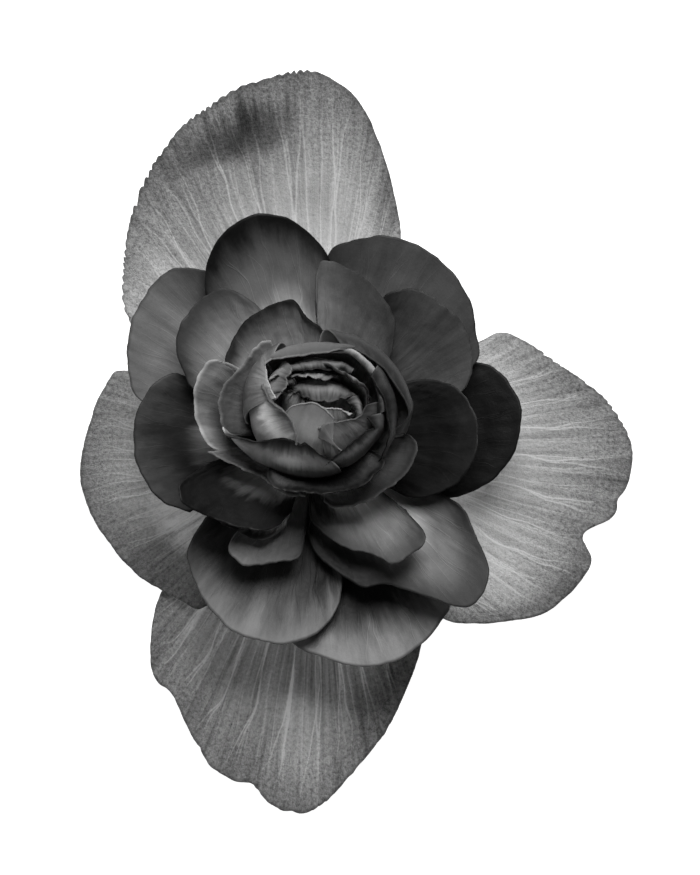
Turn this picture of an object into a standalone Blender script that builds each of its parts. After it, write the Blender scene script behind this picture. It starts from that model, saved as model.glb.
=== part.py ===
"""A double tuberous begonia bloom, cut with a stub of stalk and lying face up.

Four pale outer tepals reach down to the surface. Above them a rosette of overlapping petals
rises in nested bowls round a leaning axis, then come cupped guard petals, and a heart of
tightly folded small ones in the middle. +Z is up, and the origin is the middle of the cut end
of the stalk. Outlines are in millimetres, as seen from straight above.
"""
import math

import bmesh
import bpy
from mathutils import Vector

MM = 0.001

# sizes in millimetres
PETAL_THICKNESS = 0.65
TEPAL_THICKNESS = 0.7
HEART_THICKNESS = 0.62
ROOT_GAP = 0.75          # between a petal's root and the receptacle
ROOT_SHARE = 0.8         # a root spans this much of the angle between the ends of its rim

FIRST_ROOT_HEIGHT = 8.5
ROW_STEP = 1.9           # rise of the roots from one row of petals to the next
BOWL_REACH = 34.0        # radial run over which a row's bowl gains its full rise
BOWL_START = 6.0         # radius where the bowls begin
BOWL_RISE = (5.0, 0.85, 1.05)    # rise over that run: fixed, per row, and per row squared
BOWL_BEND = (1.4, 0.1)           # power of the rise along the run, and how much each row takes off it
CLEAR_OF_NEIGHBOURS = 12.0   # radius up to which a petal follows its bowl exactly
FREE_RUN = 16.0              # and the run over which its own cup, curl and waves come in
CURL_START = 0.6             # share of a petal's length where its rim starts to lift

STUB_LENGTH = 4.0        # upright part of the stalk
AXIS_FOOT = (0.0, -1.0, 9.0)
AXIS_LEAN = (-0.04, 0.25)

STALK_PROFILE = ((0.0, 3.4), (STUB_LENGTH, 3.4), (6.2, 5.2), (8.0, 5.9), (11.0, 5.6), (16.0, 5.0), (19.9, 4.3))

# the outlines hold true at the surface, and a higher point sits nearer the middle of the view
VIEW_MIDDLE = (6.0, 0.5)
VIEW_DISTANCE = 1458.0


def smoothstep(t):
    t = min(1.0, max(0.0, t))
    return t * t * (3.0 - 2.0 * t)


def axis_at(height):
    """Middle of the bloom at a height: upright in the stub, then leaning back a little."""
    rise = height - AXIS_FOOT[2]
    if rise < 0:
        return AXIS_FOOT[0], AXIS_FOOT[1] * smoothstep((height - STUB_LENGTH) / (AXIS_FOOT[2] - STUB_LENGTH))
    return AXIS_FOOT[0] + AXIS_LEAN[0] * rise, AXIS_FOOT[1] + AXIS_LEAN[1] * rise


def stalk_radius(height):
    for (low, r_low), (high, r_high) in zip(STALK_PROFILE, STALK_PROFILE[1:]):
        if height <= high:
            return r_low + (r_high - r_low) * max(0.0, height - low) / (high - low)
    return STALK_PROFILE[-1][1]


def root_height(row):
    return FIRST_ROOT_HEIGHT + ROW_STEP * row


def bowl_height(row, radius):
    """Height of a row's bowl at a radius: inner rows stand steeper, so the bowls never meet."""
    run = max(0.0, radius - BOWL_START) / BOWL_REACH
    fixed, per_row, per_square = BOWL_RISE
    bend, less = BOWL_BEND
    return root_height(row) + (fixed + per_row * row + per_square * row * row) * run ** (bend - less * row)


def leaning_bowl(row, place):
    """Height of a row's bowl over a place and the radius there: the bowl leans with the axis."""
    z = root_height(row)
    for _ in range(8):
        radius = (place - Vector(axis_at(z))).length
        z = bowl_height(row, radius)
    return z, radius


def true_place(x, y, z):
    """A point seen at x, y from above, moved in for its height."""
    nearer = (VIEW_DISTANCE - z) / VIEW_DISTANCE
    return Vector((VIEW_MIDDLE[0] + (x - VIEW_MIDDLE[0]) * nearer,
                   VIEW_MIDDLE[1] + (y - VIEW_MIDDLE[1]) * nearer, z))


def smooth_path(points):
    """A function of 0 to 1 along a smooth curve through the points, even in length."""
    points = [Vector(p) for p in points]
    ends = [points[0] * 2 - points[1]] + points + [points[-1] * 2 - points[-2]]
    lengths = [0.0]
    for a, b in zip(points, points[1:]):
        lengths.append(lengths[-1] + (b - a).length)

    def at(t):
        reach = min(1.0, max(0.0, t)) * lengths[-1]
        i = 0
        while i < len(points) - 2 and reach > lengths[i + 1]:
            i += 1
        s = (reach - lengths[i]) / (lengths[i + 1] - lengths[i])
        a, b, c, d = ends[i:i + 4]
        return 0.5 * (2 * b + (c - a) * s + (2 * a - 5 * b + 4 * c - d) * s ** 2
                      + (3 * b - a - 3 * c + d) * s ** 3)

    return at


def material(name, grey, roughness):
    mat = bpy.data.materials.new(name)
    mat.use_nodes = True
    shader = mat.node_tree.nodes["Principled BSDF"]
    shader.inputs["Base Color"].default_value = (grey, grey, grey, 1.0)
    shader.inputs["Roughness"].default_value = roughness
    shader.inputs["Metallic"].default_value = 0.0
    mat.diffuse_color = (grey, grey, grey, 1.0)
    return mat


def blade(name, surface, across, along, thickness, grey):
    """A thin petal: a grid bent over a surface(u, v), split into triangles, then given its wall."""
    bm = bmesh.new()
    bmesh.ops.create_grid(bm, x_segments=across, y_segments=along, size=0.5)
    for vert in bm.verts:
        vert.co = surface(vert.co.x + 0.5, vert.co.y + 0.5) * MM
    bmesh.ops.triangulate(bm, faces=bm.faces[:], quad_method="SHORT_EDGE")
    mesh = bpy.data.meshes.new(name)
    bm.to_mesh(mesh)
    bm.free()
    mesh.shade_smooth()
    obj = bpy.data.objects.new(name, mesh)
    obj.data.materials.append(material(name + "_skin", grey, 0.55))
    wall = obj.modifiers.new("wall", "SOLIDIFY")
    wall.thickness = thickness * MM
    wall.offset = 0.0
    return obj


# Rosette petals: row, grey, then the rim from one side of the root round to the other,
# anticlockwise. Cup lifts the sides, curl lifts the rim, and wave is the height and count of
# its waves.
ROSETTE = {
    "outer_petal_right": dict(
        row=0.6, grey=0.03, cup=0.4, curl=0.8, wave=(0.3, 2),
        rim=((9, -7), (17, -11), (24, -11.8), (32, -9.8), (38.4, -3.6), (40.4, 3), (39.8, 8), (36.8, 13),
             (32.8, 15.4), (26, 15))),
    "outer_petal_upper_right": dict(
        row=1.2, grey=0.12, cup=0.6, curl=1.0, wave=(0.4, 3),
        rim=((24, 10), (31.4, 16), (31.4, 22), (29.6, 29), (24.2, 36.2), (16, 40.4), (11, 41),
             (5.2, 39.6), (1.6, 36.8), (0.5, 28))),
    "outer_petal_upper_left": dict(
        row=1.0, grey=0.14, cup=0.6, curl=1.2, wave=(0.4, 2),
        rim=((-20, 33), (-25, 34.5), (-30, 34), (-34, 30.8), (-37.4, 24.6), (-38.8, 18), (-38.2, 13),
             (-36, 8), (-25, 5))),
    "outer_petal_bottom": dict(
        row=1.0, grey=0.16, cup=0.5, curl=0.8, wave=(0.4, 2),
        rim=((-4, -9), (-9, -24), (-8, -37), (-4.8, -41.2), (0, -43.6), (8, -45.4), (15.4, -44.2),
             (21, -40.4), (24.8, -35.8), (26, -31), (22, -19), (9, -7))),
    "second_petal_top": dict(
        row=2.0, grey=0.08, cup=0.8, curl=0.8, wave=(0.4, 2),
        rim=((3.5, 12), (3.5, 26), (1.4, 37), (-4.4, 43.4), (-9.6, 45.4), (-15, 44.4), (-20, 40.8),
             (-22.6, 36), (-23, 29.6), (-20, 20), (-9, 8))),
    "second_petal_right": dict(
        row=2.0, grey=0.07, cup=0.8, curl=1.0, wave=(0.4, 3),
        rim=((23, 6), (29, 10.4), (30.6, 16), (29.8, 21), (26.6, 25.6), (20, 30), (14.4, 29.8),
             (11.5, 27))),
    "second_petal_lower_right": dict(
        row=2.4, grey=0.14, cup=0.6, curl=0.4, wave=(0.3, 2),
        rim=((-2.4, -18.5), (-0.2, -23.6), (8, -29.2), (13.4, -29), (20.4, -31), (29.2, -33.6),
             (32.6, -31), (33.8, -26), (31.8, -20.4), (28.5, -13.6), (20, -9))),
    "second_petal_bottom": dict(
        row=1.7, grey=0.12, cup=0.6, curl=0.6, wave=(0.3, 2),
        rim=((-23, -15.6), (-26.4, -22), (-25.4, -28), (-23.2, -32.4), (-17, -38.6), (-9, -40.9),
             (-2.4, -39.6), (2, -36.4), (4.2, -30.5), (3.6, -20))),
    "second_petal_left": dict(
        row=2.2, grey=0.08, cup=0.8, curl=1.2, wave=(0.3, 2),
        rim=((-7, 5), (-18, 10), (-26, 12.4), (-30, 13.4), (-34, 10.4), (-37, 5), (-37.4, -1),
             (-35.8, -7), (-32, -12.2), (-26, -14.4))),
    "third_petal_top": dict(
        row=3.0, grey=0.12, cup=0.8, curl=0.6, wave=(0.3, 2),
        rim=((8, 7), (13.4, 15), (15, 21.4), (14.2, 26.2), (10.2, 31.4), (5.2, 34.8), (0.8, 36),
             (-0.6, 33.6), (-0.8, 28))),
    "third_petal_upper_left": dict(
        row=3.0, grey=0.12, cup=0.8, curl=0.8, wave=(0.4, 3),
        rim=((-8, 20), (-12, 26.2), (-16, 29.2), (-20, 30.3), (-24.4, 28), (-27.8, 23.2), (-29, 18.6),
             (-27.6, 14.4), (-25, 10), (-16, 5))),
    "third_petal_right": dict(
        row=3.0, grey=0.06, cup=0.8, curl=1.0, wave=(0.3, 2),
        rim=((14, -9.5), (19, -11.6), (26, -9.6), (29.8, -6), (31.7, 0), (31.2, 5.4), (27.8, 10),
             (23.6, 12), (18, 11.8), (12, 9))),
    "third_petal_lower_right": dict(
        row=3.5, grey=0.15, cup=0.4, curl=-0.8, wave=(0.3, 2),
        rim=((-2.2, -11), (-1.4, -16.6), (4, -21), (11.6, -23.4), (15, -24.8), (19.8, -22), (21, -19),
             (17.4, -14.2))),
    "third_petal_bottom": dict(
        row=3.0, grey=0.16, cup=0.4, curl=0.3, wave=(0.2, 2),
        rim=((-6, -5), (-12, -13), (-18.2, -21), (-16.4, -24.4), (-14, -25.4), (-9, -24.5), (-4.4, -23.8),
             (-3.2, -20))),
    "third_petal_lower_left": dict(
        row=3.5, grey=0.06, cup=0.3, curl=0.2, wave=(0.2, 2),
        rim=((-8, -4), (-16, -10), (-20, -15.6), (-17, -18.2), (-13, -19.9), (-10, -19.8), (-7, -17.6))),
    "fourth_petal_upper_left": dict(
        row=4.0, grey=0.12, cup=0.6, curl=0.4, wave=(0.4, 3),
        rim=((1, 8), (1.6, 16), (0.4, 22.2), (-3, 24.8), (-4.6, 27.4), (-6.6, 28.4), (-11.6, 26.2),
             (-15.8, 23), (-18.4, 18.4), (-18.4, 13.6), (-12, 8))),
    "fourth_petal_lower_left": dict(
        row=4.0, grey=0.09, cup=0.5, curl=0.4, wave=(0.3, 2),
        rim=((-14, -2), (-21.4, -4.4), (-26, -7), (-28.4, -9.4), (-26.8, -13.2), (-20.8, -16),
             (-13.6, -18.2), (-9, -17.4), (-5.8, -14.4))),
    "guard_petal_far_left": dict(
        row=4.6, grey=0.12, cup=0.4, curl=0.4, wave=(0.3, 2),
        rim=((-7, 8), (-16, 14), (-21.4, 16.2), (-24.2, 13.6), (-25.4, 8), (-24.6, 3), (-20.8, -2),
             (-13, -1))),
    "guard_petal_lower_left": dict(
        row=4.95, grey=0.14, cup=0.3, curl=0.3, wave=(0.2, 2),
        rim=((-22.6, -2.4), (-17, -5.2), (-11.6, -7.6), (-7.4, -10.8), (-3, -11.5))),
    "guard_petal_lower_right": dict(
        row=4.8, grey=0.14, cup=0.3, curl=0.4, wave=(0.2, 2),
        rim=((0.8, -12.4), (4, -13.8), (10.6, -11.8), (16, -8), (19.2, -3.8), (19, 0.2),
             (16, 1.4), (11, 1.6))),
    "guard_petal_left": dict(
        row=5.6, grey=0.14, cup=0.2, curl=0.5, wave=(0.3, 3),
        rim=((-10, 20.2), (-12.4, 19.2), (-16.8, 13.8), (-20, 10), (-20.2, 5.6), (-18.8, 1.4), (-12, 1))),
    "guard_petal_front": dict(
        row=5.8, grey=0.16, cup=0.2, curl=0.3, wave=(0.2, 2),
        rim=((-9, -4), (-10.8, -7.2), (-8, -10), (0, -10.8), (7, -9.8), (11.2, -7), (13, -4.2), (9, -1.5))),
}

# The outer tepals arch out of the receptacle, droop to the surface at touch of the way along, and
# lift again at the rim. Reach is the length from the axis, low shifts the middle at the touching
# place, and sides give how much higher the two side margins run there.
TEPALS = {
    "tepal_top": dict(
        root=6.8, reach=75, touch=0.64, low=-0.1, sides=(1.6, 0.6), rim_lift=3.4, grey=0.4,
        rim=((9, 10), (14.5, 25), (16.2, 40.4), (14.8, 49.2), (12, 59), (7.6, 68.2), (2.6, 72.2),
             (-2.6, 74.4), (-8.6, 73.4), (-17.6, 70), (-28.4, 62.2), (-36.2, 50.4), (-39.4, 35.6),
             (-37, 22), (-16, 6))),
    "tepal_left": dict(
        root=8.3, reach=49, touch=0.86, low=-1.3, sides=(6.0, 8.6), rim_lift=1.0, grey=0.3,
        rim=((-24, 10), (-38.6, 13.8), (-42.8, 11.4), (-47.2, 0.6), (-47.6, -10), (-43, -20),
             (-35.2, -28), (-27.4, -32.6), (-23, -33.4), (-14, -24))),
    "tepal_bottom": dict(
        root=6.8, reach=74, touch=0.62, low=-0.1, sides=(0.0, 1.2), rim_lift=2.4, grey=0.2,
        rim=((-24, -20), (-32, -30.8), (-34, -43.6), (-32.6, -48.6), (-29.6, -51.4), (-23.4, -63.6),
             (-17.8, -68), (-13.6, -68.8), (-10.4, -72.8), (-4.8, -75.2), (0.8, -72.8), (7.4, -65.6),
             (14.2, -56.6), (20.4, -41), (19, -26), (8, -9))),
    "tepal_right": dict(
        root=8.3, reach=64, touch=0.84, low=-1.3, sides=(7.0, 4.0), rim_lift=1.4, grey=0.45,
        rim=((15, -26), (25, -35.8), (38, -36.4), (46.8, -33.6), (54.2, -25.2), (52.8, -19),
             (59.6, -14.4), (62.6, -2.8), (58.6, 6.6), (49, 14.8), (38.2, 21.2), (32.2, 19.8), (22, 14),
             (9, 6))),
}


def root_point(rim, height, u):
    """A point of the arc where a petal leaves the receptacle, between the directions of its rim's ends."""
    centre = Vector(axis_at(height))
    start, end = (math.atan2(*(Vector(point) - centre).yx) for point in (rim[0], rim[-1]))
    angle = start + (end - start) % math.tau * (0.5 + ROOT_SHARE * (u - 0.5))
    reach = stalk_radius(height) + ROOT_GAP
    return centre + reach * Vector((math.cos(angle), math.sin(angle)))


def rosette_surface(spec):
    row = spec["row"]
    height = root_height(row)
    rim_at = smooth_path(spec["rim"])
    lift, waves = spec["wave"]

    def surface(u, v):
        flat = root_point(spec["rim"], height, u).lerp(rim_at(u), v)
        z, radius = leaning_bowl(row, flat)
        extra = spec["cup"] * (2 * u - 1) ** 4 * v
        extra += spec["curl"] * smoothstep((v - CURL_START) / (1 - CURL_START))
        extra += lift * math.sin(math.tau * waves * u + row) * v ** 3
        z += extra * smoothstep((radius - CLEAR_OF_NEIGHBOURS) / FREE_RUN)
        return true_place(flat.x, flat.y, z)

    return surface


def tepal_surface(spec):
    rim_at = smooth_path(spec["rim"])
    rest = TEPAL_THICKNESS / 2
    middle = Vector(axis_at(spec["root"]))
    start, end = spec["sides"]

    def surface(u, v):
        flat = root_point(spec["rim"], spec["root"], u).lerp(rim_at(u), v)
        along = (flat - middle).length / spec["reach"]
        low = rest + spec["low"] + start * (1 - u) ** 3 + end * u ** 3
        z = spec["root"] + (low - spec["root"]) * smoothstep(along / spec["touch"])
        z += spec["rim_lift"] * max(0.0, (along - spec["touch"]) / (1 - spec["touch"])) ** 2
        return true_place(flat.x, flat.y, max(rest, z))

    return surface


# The heart: petals wrapped round one leaning bud. The bud's half section is radius and height
# from its middle, and a petal covers a range of directions up to its own rim.
BUD_MIDDLE = Vector((-1.0, 5.8, 35.0))
BUD_ROOT = Vector((-0.5, 1.9, 21.3))
BUD_LEAN = Vector((0.12, 0.42, 0.9)).normalized()
BUD_WIDTH = (1.0, 0.91)
BUD_SECTION = ((2.2, -13.4), (4.4, -9.4), (8.6, -4.6), (12.8, 0.6), (13.0, 5.2), (10.0, 8.8), (5.4, 10.8),
               (0.0, 11.2))

# each petal: direction of its middle and half its width in degrees, how far up the section its
# rim reaches (1 is the tip of the bud), how wide and how tall it is beside the bud
HEART = {
    "back_right_cup": dict(at=28, half=52, reach=0.60, wide=1.30, tall=0.92),
    "right_wall": dict(at=-8, half=44, reach=0.66, wide=1.06, tall=1.0),
    "back_wall": dict(at=62, half=46, reach=0.68, wide=0.98, tall=1.02),
    "back_left_lobe": dict(at=118, half=30, reach=0.64, wide=0.97, tall=1.0),
    "front_crescent": dict(at=232, half=44, reach=0.72, wide=1.08, tall=0.96),
    "lower_right_wrap": dict(at=308, half=42, reach=0.72, wide=1.0, tall=1.0),
    "left_wrap": dict(at=186, half=50, reach=0.82, wide=0.99, tall=1.03),
    "front_wrap": dict(at=262, half=44, reach=0.88, wide=0.90, tall=1.06),
    "right_wrap": dict(at=322, half=40, reach=0.84, wide=0.84, tall=1.04),
    "inner_right_curl": dict(at=42, half=54, reach=0.78, wide=0.80, tall=1.0),
    "inner_back_curl": dict(at=118, half=50, reach=0.82, wide=0.70, tall=1.0),
    "inner_left_curl": dict(at=215, half=60, reach=0.88, wide=0.56, tall=1.0),
}
BUD_CORE_WIDE = 0.5
RIM_DROOP = 0.16         # how much lower a folded petal's rim ends at its sides, as a share of its reach
FOOT_WIDTH = (0.15, 0.62)    # where in a half turn of a sine a folded petal's width starts, and its span


def bud_point(angle, up, wide, tall):
    """A point of the bud's skin: a direction round it, and how far up its section."""
    section = smooth_path(BUD_SECTION)
    radius, height = section(up)
    height = BUD_SECTION[0][1] + (height - BUD_SECTION[0][1]) * tall
    across = Vector((1, 0, 0))
    across = (across - BUD_LEAN * across.dot(BUD_LEAN)).normalized()
    away = BUD_LEAN.cross(across)
    if height >= 0:
        middle = BUD_MIDDLE + BUD_LEAN * height
    else:
        middle = BUD_MIDDLE.lerp(BUD_ROOT, height / BUD_SECTION[0][1])
    grow = wide if height >= BUD_SECTION[1][1] else 1 + (wide - 1) * (up / 0.15)
    turn = math.radians(angle)
    return (middle + across * radius * grow * BUD_WIDTH[0] * math.cos(turn)
            + away * radius * grow * BUD_WIDTH[1] * math.sin(turn))


def heart_surface(spec):
    foot, span = FOOT_WIDTH

    def surface(u, v):
        side = 2 * u - 1
        width = 0.5 + 0.5 * math.sin(math.pi * (foot + (1 - foot) * v) * span)
        top = spec["reach"] * (1 - RIM_DROOP * abs(side) ** 2.6)
        return bud_point(spec["at"] + spec["half"] * side * width, top * v, spec["wide"], spec["tall"])

    return surface


def heart_core():
    """The small closed bud that the heart's petals grow from."""
    bm = bmesh.new()
    bmesh.ops.create_uvsphere(bm, u_segments=12, v_segments=8, radius=1.0)
    for vert in bm.verts:
        up = 1 - math.acos(max(-1.0, min(1.0, vert.co.z))) / math.pi
        angle = math.degrees(math.atan2(vert.co.y, vert.co.x))
        centre = bud_point(0, up, 0, 0.8)
        skin = bud_point(angle, up, BUD_CORE_WIDE, 0.8) - centre
        if up < 0.5:
            skin *= 1 + 0.9 * (1 - 2 * up)
        vert.co = (centre + skin * math.sqrt(max(0.0, 1 - vert.co.z ** 2)) ** 0.5) * MM
    mesh = bpy.data.meshes.new("heart_of_folded_petals")
    bm.to_mesh(mesh)
    bm.free()
    mesh.shade_smooth()
    return bpy.data.objects.new("heart_of_folded_petals", mesh)


def heart(parts, cutters):
    core = heart_core()
    parts.objects.link(core)
    core.data.materials.append(material("heart_skin", 0.2, 0.5))
    for name, spec in HEART.items():
        cutters.objects.link(blade(name, heart_surface(spec), 8, 4, HEART_THICKNESS, 0.2))
    union = core.modifiers.new("petals", "BOOLEAN")
    union.operation = "UNION"
    union.operand_type = "COLLECTION"
    union.collection = cutters
    union.solver = "MANIFOLD"    # the exact solver leaves the petals in two bodies
    union.use_self = True
    depsgraph = bpy.context.evaluated_depsgraph_get()
    joined = bpy.data.meshes.new_from_object(core.evaluated_get(depsgraph))
    core.modifiers.clear()
    core.data = joined
    for obj in list(cutters.objects):
        bpy.data.objects.remove(obj)


def stalk(parts):
    """Stub of stalk and receptacle: one tapered stem along the leaning axis."""
    curve = bpy.data.curves.new("stalk_and_receptacle", "CURVE")
    curve.dimensions = "3D"
    curve.bevel_depth = MM
    curve.bevel_resolution = 4
    curve.use_fill_caps = True
    spline = curve.splines.new("POLY")
    spline.points.add(len(STALK_PROFILE) - 1)
    for point, (height, radius) in zip(spline.points, STALK_PROFILE):
        x, y = axis_at(height)
        point.co = (x * MM, y * MM, height * MM, 1.0)
        point.radius = radius
    obj = bpy.data.objects.new("stalk_and_receptacle", curve)
    parts.objects.link(obj)
    curve.materials.append(material("stalk_skin", 0.25, 0.6))


def main():
    for obj in list(bpy.data.objects):
        bpy.data.objects.remove(obj)
    parts = bpy.data.collections.new("begonia_bloom")
    cutters = bpy.data.collections.new("heart_petals")
    for group in (parts, cutters):
        bpy.context.scene.collection.children.link(group)
    stalk(parts)
    for name, spec in TEPALS.items():
        parts.objects.link(blade(name, tepal_surface(spec), 20, 6, TEPAL_THICKNESS, spec["grey"]))
    for name, spec in ROSETTE.items():
        parts.objects.link(blade(name, rosette_surface(spec), 16, 4, PETAL_THICKNESS, spec["grey"]))
    heart(parts, cutters)


main()
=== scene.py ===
# A double tuberous begonia bloom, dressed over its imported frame. It lies face up on four thin veined
# tepals, with a rosette of petals above them, guard petals, and a heart of folded petals in the middle.
import math

import bpy
import numpy as np
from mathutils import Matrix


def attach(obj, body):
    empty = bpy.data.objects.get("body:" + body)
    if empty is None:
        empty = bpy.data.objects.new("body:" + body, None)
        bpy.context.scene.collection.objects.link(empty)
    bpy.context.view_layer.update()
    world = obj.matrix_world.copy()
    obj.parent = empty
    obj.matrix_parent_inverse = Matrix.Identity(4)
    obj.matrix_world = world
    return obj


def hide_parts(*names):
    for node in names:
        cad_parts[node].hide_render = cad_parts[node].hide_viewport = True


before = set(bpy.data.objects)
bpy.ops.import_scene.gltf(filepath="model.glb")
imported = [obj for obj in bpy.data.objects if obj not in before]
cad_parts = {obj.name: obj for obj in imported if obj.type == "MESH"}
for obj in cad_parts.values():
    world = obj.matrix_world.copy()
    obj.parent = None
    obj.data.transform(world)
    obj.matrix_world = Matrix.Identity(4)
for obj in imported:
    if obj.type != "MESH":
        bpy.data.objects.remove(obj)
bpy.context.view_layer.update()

mm = 0.001  # the bloom's sizes are in millimetres, and those of the floor and lights in metres

# the leaning axis of the bloom and its nested bowls, in millimetres, as the solids have them
bloom = dict(firstRoot=8.5, rowStep=1.9, bowlReach=34.0, bowlStart=6.0, clearOfNeighbours=12.0, freeRun=16.0,
             bowlRise=(5.0, 0.85, 1.05), bowlBend=(1.4, 0.1), foot=(0.0, -1.0, 9.0), lean=(-0.04, 0.25),
             rootGap=0.75, rootShare=0.8)
stub = dict(length=4.0, profile=((0.0, 3.4), (4.0, 3.4), (6.2, 5.2), (8.0, 5.9), (11.0, 5.6), (16.0, 5.0),
                                 (19.9, 4.3)))

# the photo's viewpoint: a long lens straight above
camera = dict(lens=300, sensor=36, height=1458.3, over=(6.0, 0.5), clip=(0.1, 10))


def smoothStep(t):
    t = np.clip(t, 0, 1)
    return t * t * (3 - 2 * t)


def axisAt(height):
    height = np.asarray(height, float)
    footX, footY, footZ = bloom["foot"]
    rise = np.maximum(height - footZ, 0)
    start = smoothStep((height - stub["length"]) / (footZ - stub["length"]))
    return np.stack([footX + bloom["lean"][0] * rise, footY * start + bloom["lean"][1] * rise], -1)


def stalkRadius(height):
    heights, radii = zip(*stub["profile"])
    return np.interp(height, heights, radii)


def rootHeight(row):
    return bloom["firstRoot"] + bloom["rowStep"] * row


def leaningBowl(row, place):
    # height of a row's bowl over a place, and the radius there: the bowl leans with the axis
    z = np.full(place.shape[:-1], rootHeight(row))
    base, slope, square = bloom["bowlRise"]
    rise = base + slope * row + square * row * row
    bend, straighter = bloom["bowlBend"]
    for _ in range(8):
        radius = np.linalg.norm(place - axisAt(z), axis=-1)
        run = np.maximum(0, radius - bloom["bowlStart"]) / bloom["bowlReach"]
        z = rootHeight(row) + rise * run ** (bend - straighter * row)
    return z, radius


def truePlace(flat, z):
    # outlines are as seen from above, so a higher point moves in towards the middle of the view
    nearer = (camera["height"] - z)[..., None] / camera["height"]
    middle = np.array(camera["over"])
    return np.concatenate([middle + (flat - middle) * nearer, z[..., None]], -1)


def smoothPath(points, t):
    # a smooth curve through the points, even in length
    points = np.array(points, float)
    ends = np.vstack([2 * points[0] - points[1], points, 2 * points[-1] - points[-2]])
    lengths = np.concatenate([[0], np.cumsum(np.linalg.norm(np.diff(points[:, :2], axis=0), axis=1))])
    reach = np.clip(t, 0, 1) * lengths[-1]
    i = np.clip(np.searchsorted(lengths, reach) - 1, 0, len(points) - 2)
    s = ((reach - lengths[i]) / (lengths[i + 1] - lengths[i]))[..., None]
    a, b, c, d = ends[i], ends[i + 1], ends[i + 2], ends[i + 3]
    bend = 2 * a - 5 * b + 4 * c - d
    twist = 3 * b - a - 3 * c + d
    return 0.5 * (2 * b + (c - a) * s + bend * s ** 2 + twist * s ** 3)


def ripple(t, seed, turns):
    # a gentle uneven wave between about -1 and 1, always the same for one seed
    total = 0
    for k in range(4):
        start = 9 * math.sin(seed * 12.9 + k * 4.1)
        total = total + np.sin(math.tau * turns * (0.6 + 0.5 * k) * t + start) / (k + 1)
    return total / 2


def rootArc(rim, height, u):
    # where a petal leaves the receptacle, between the directions of its rim's ends
    centre = axisAt(height)
    ends = np.array([rim[0], rim[-1]], float) - centre
    start, end = np.arctan2(ends[:, 1], ends[:, 0])
    angle = start + (end - start) % math.tau * (0.5 + bloom["rootShare"] * (u - 0.5))
    reach = stalkRadius(height) + bloom["rootGap"]
    return centre + reach * np.stack([np.cos(angle), np.sin(angle)], -1)


def blend(a, b, t):
    return a + (b - a) * t[..., None]


# One small class wraps a socket, so shader and relief maths read as plain expressions
class Wire:
    def __init__(self, tree, socket):
        self.tree = tree
        self.socket = socket

    def other(self, name):
        return Wire(self.tree, self.socket.node.outputs[name])

    def math(self, operation, *others):
        return self.tree.node("ShaderNodeMath", dict(operation=operation), dict(enumerate((self,) + others)))

    def __add__(self, value):
        return self.math("ADD", value)

    def __sub__(self, value):
        return self.math("SUBTRACT", value)

    def __rsub__(self, value):
        return self.tree.node("ShaderNodeMath", dict(operation="SUBTRACT"), {0: value, 1: self})

    def __mul__(self, value):
        return self.math("MULTIPLY", value)

    def __truediv__(self, value):
        return self.math("DIVIDE", value)

    def __pow__(self, value):
        return self.math("POWER", value)

    __radd__ = __add__
    __rmul__ = __mul__


class Tree:
    def __init__(self, tree):
        self.tree = tree
        self.tree.nodes.clear()

    # any node: its type, its settings first, then the values or links of its sockets
    def node(self, kind, settings=None, sockets=None, out=0):
        made = self.tree.nodes.new(kind)
        for name, value in (settings or {}).items():
            setattr(made, name, value)
        for name, value in (sockets or {}).items():
            if isinstance(value, Wire):
                self.tree.links.new(value.socket, made.inputs[name])
            else:
                made.inputs[name].default_value = value
        return Wire(self, made.outputs[out]) if made.outputs else made

    def smooth(self, value, low, high):
        # 0 below low, 1 above high, and a soft step between
        return self.node("ShaderNodeMapRange", dict(interpolation_type="SMOOTHSTEP"),
                         {"Value": value, "From Min": low, "From Max": high})

    def point(self, x, y, z=0.0):
        return self.node("ShaderNodeCombineXYZ", None, {"X": x, "Y": y, "Z": z})

    def noise(self, place, detail=2.0, roughness=0.5, scale=1.0):
        return self.node("ShaderNodeTexNoise", None,
                         {"Vector": place, "Scale": scale, "Detail": detail, "Roughness": roughness})

    def grey(self, tone):
        # a tone as a colour between black and white
        sockets = {0: tone, 6: (0, 0, 0, 1), 7: (1, 1, 1, 1)}
        return self.node("ShaderNodeMix", dict(data_type="RGBA"), sockets, 2)


def newSkin(name):
    skin = bpy.data.materials.new(name)
    skin.use_nodes = True
    return skin, Tree(skin.node_tree)


def newGroup(name, source, result, inputs):
    # a Geometry Nodes tree with named inputs, each with the type of its socket
    group = bpy.data.node_groups.new(name, "GeometryNodeTree")
    face = group.interface
    face.new_socket(name=result, in_out="OUTPUT", socket_type="NodeSocketGeometry")
    face.new_socket(name=source, in_out="INPUT", socket_type="NodeSocketGeometry")
    for inputName, kind in inputs.items():
        face.new_socket(name=inputName, in_out="INPUT", socket_type="NodeSocket" + kind)
    return group


def addTree(obj, group, values):
    modifier = obj.modifiers.new(group.name, "NODES")
    modifier.node_group = group
    for socket in group.interface.items_tree:
        if socket.name in values:
            modifier[socket.identifier] = values[socket.name]


# veins wander and fork: how far, in lanes, and how wide a line is
veinShape = dict(wander=1.4, jitter=0.3, fork=0.3, forkFrom=0.3, forkTo=0.95, width=0.0018, faintest=0.35)


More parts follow.
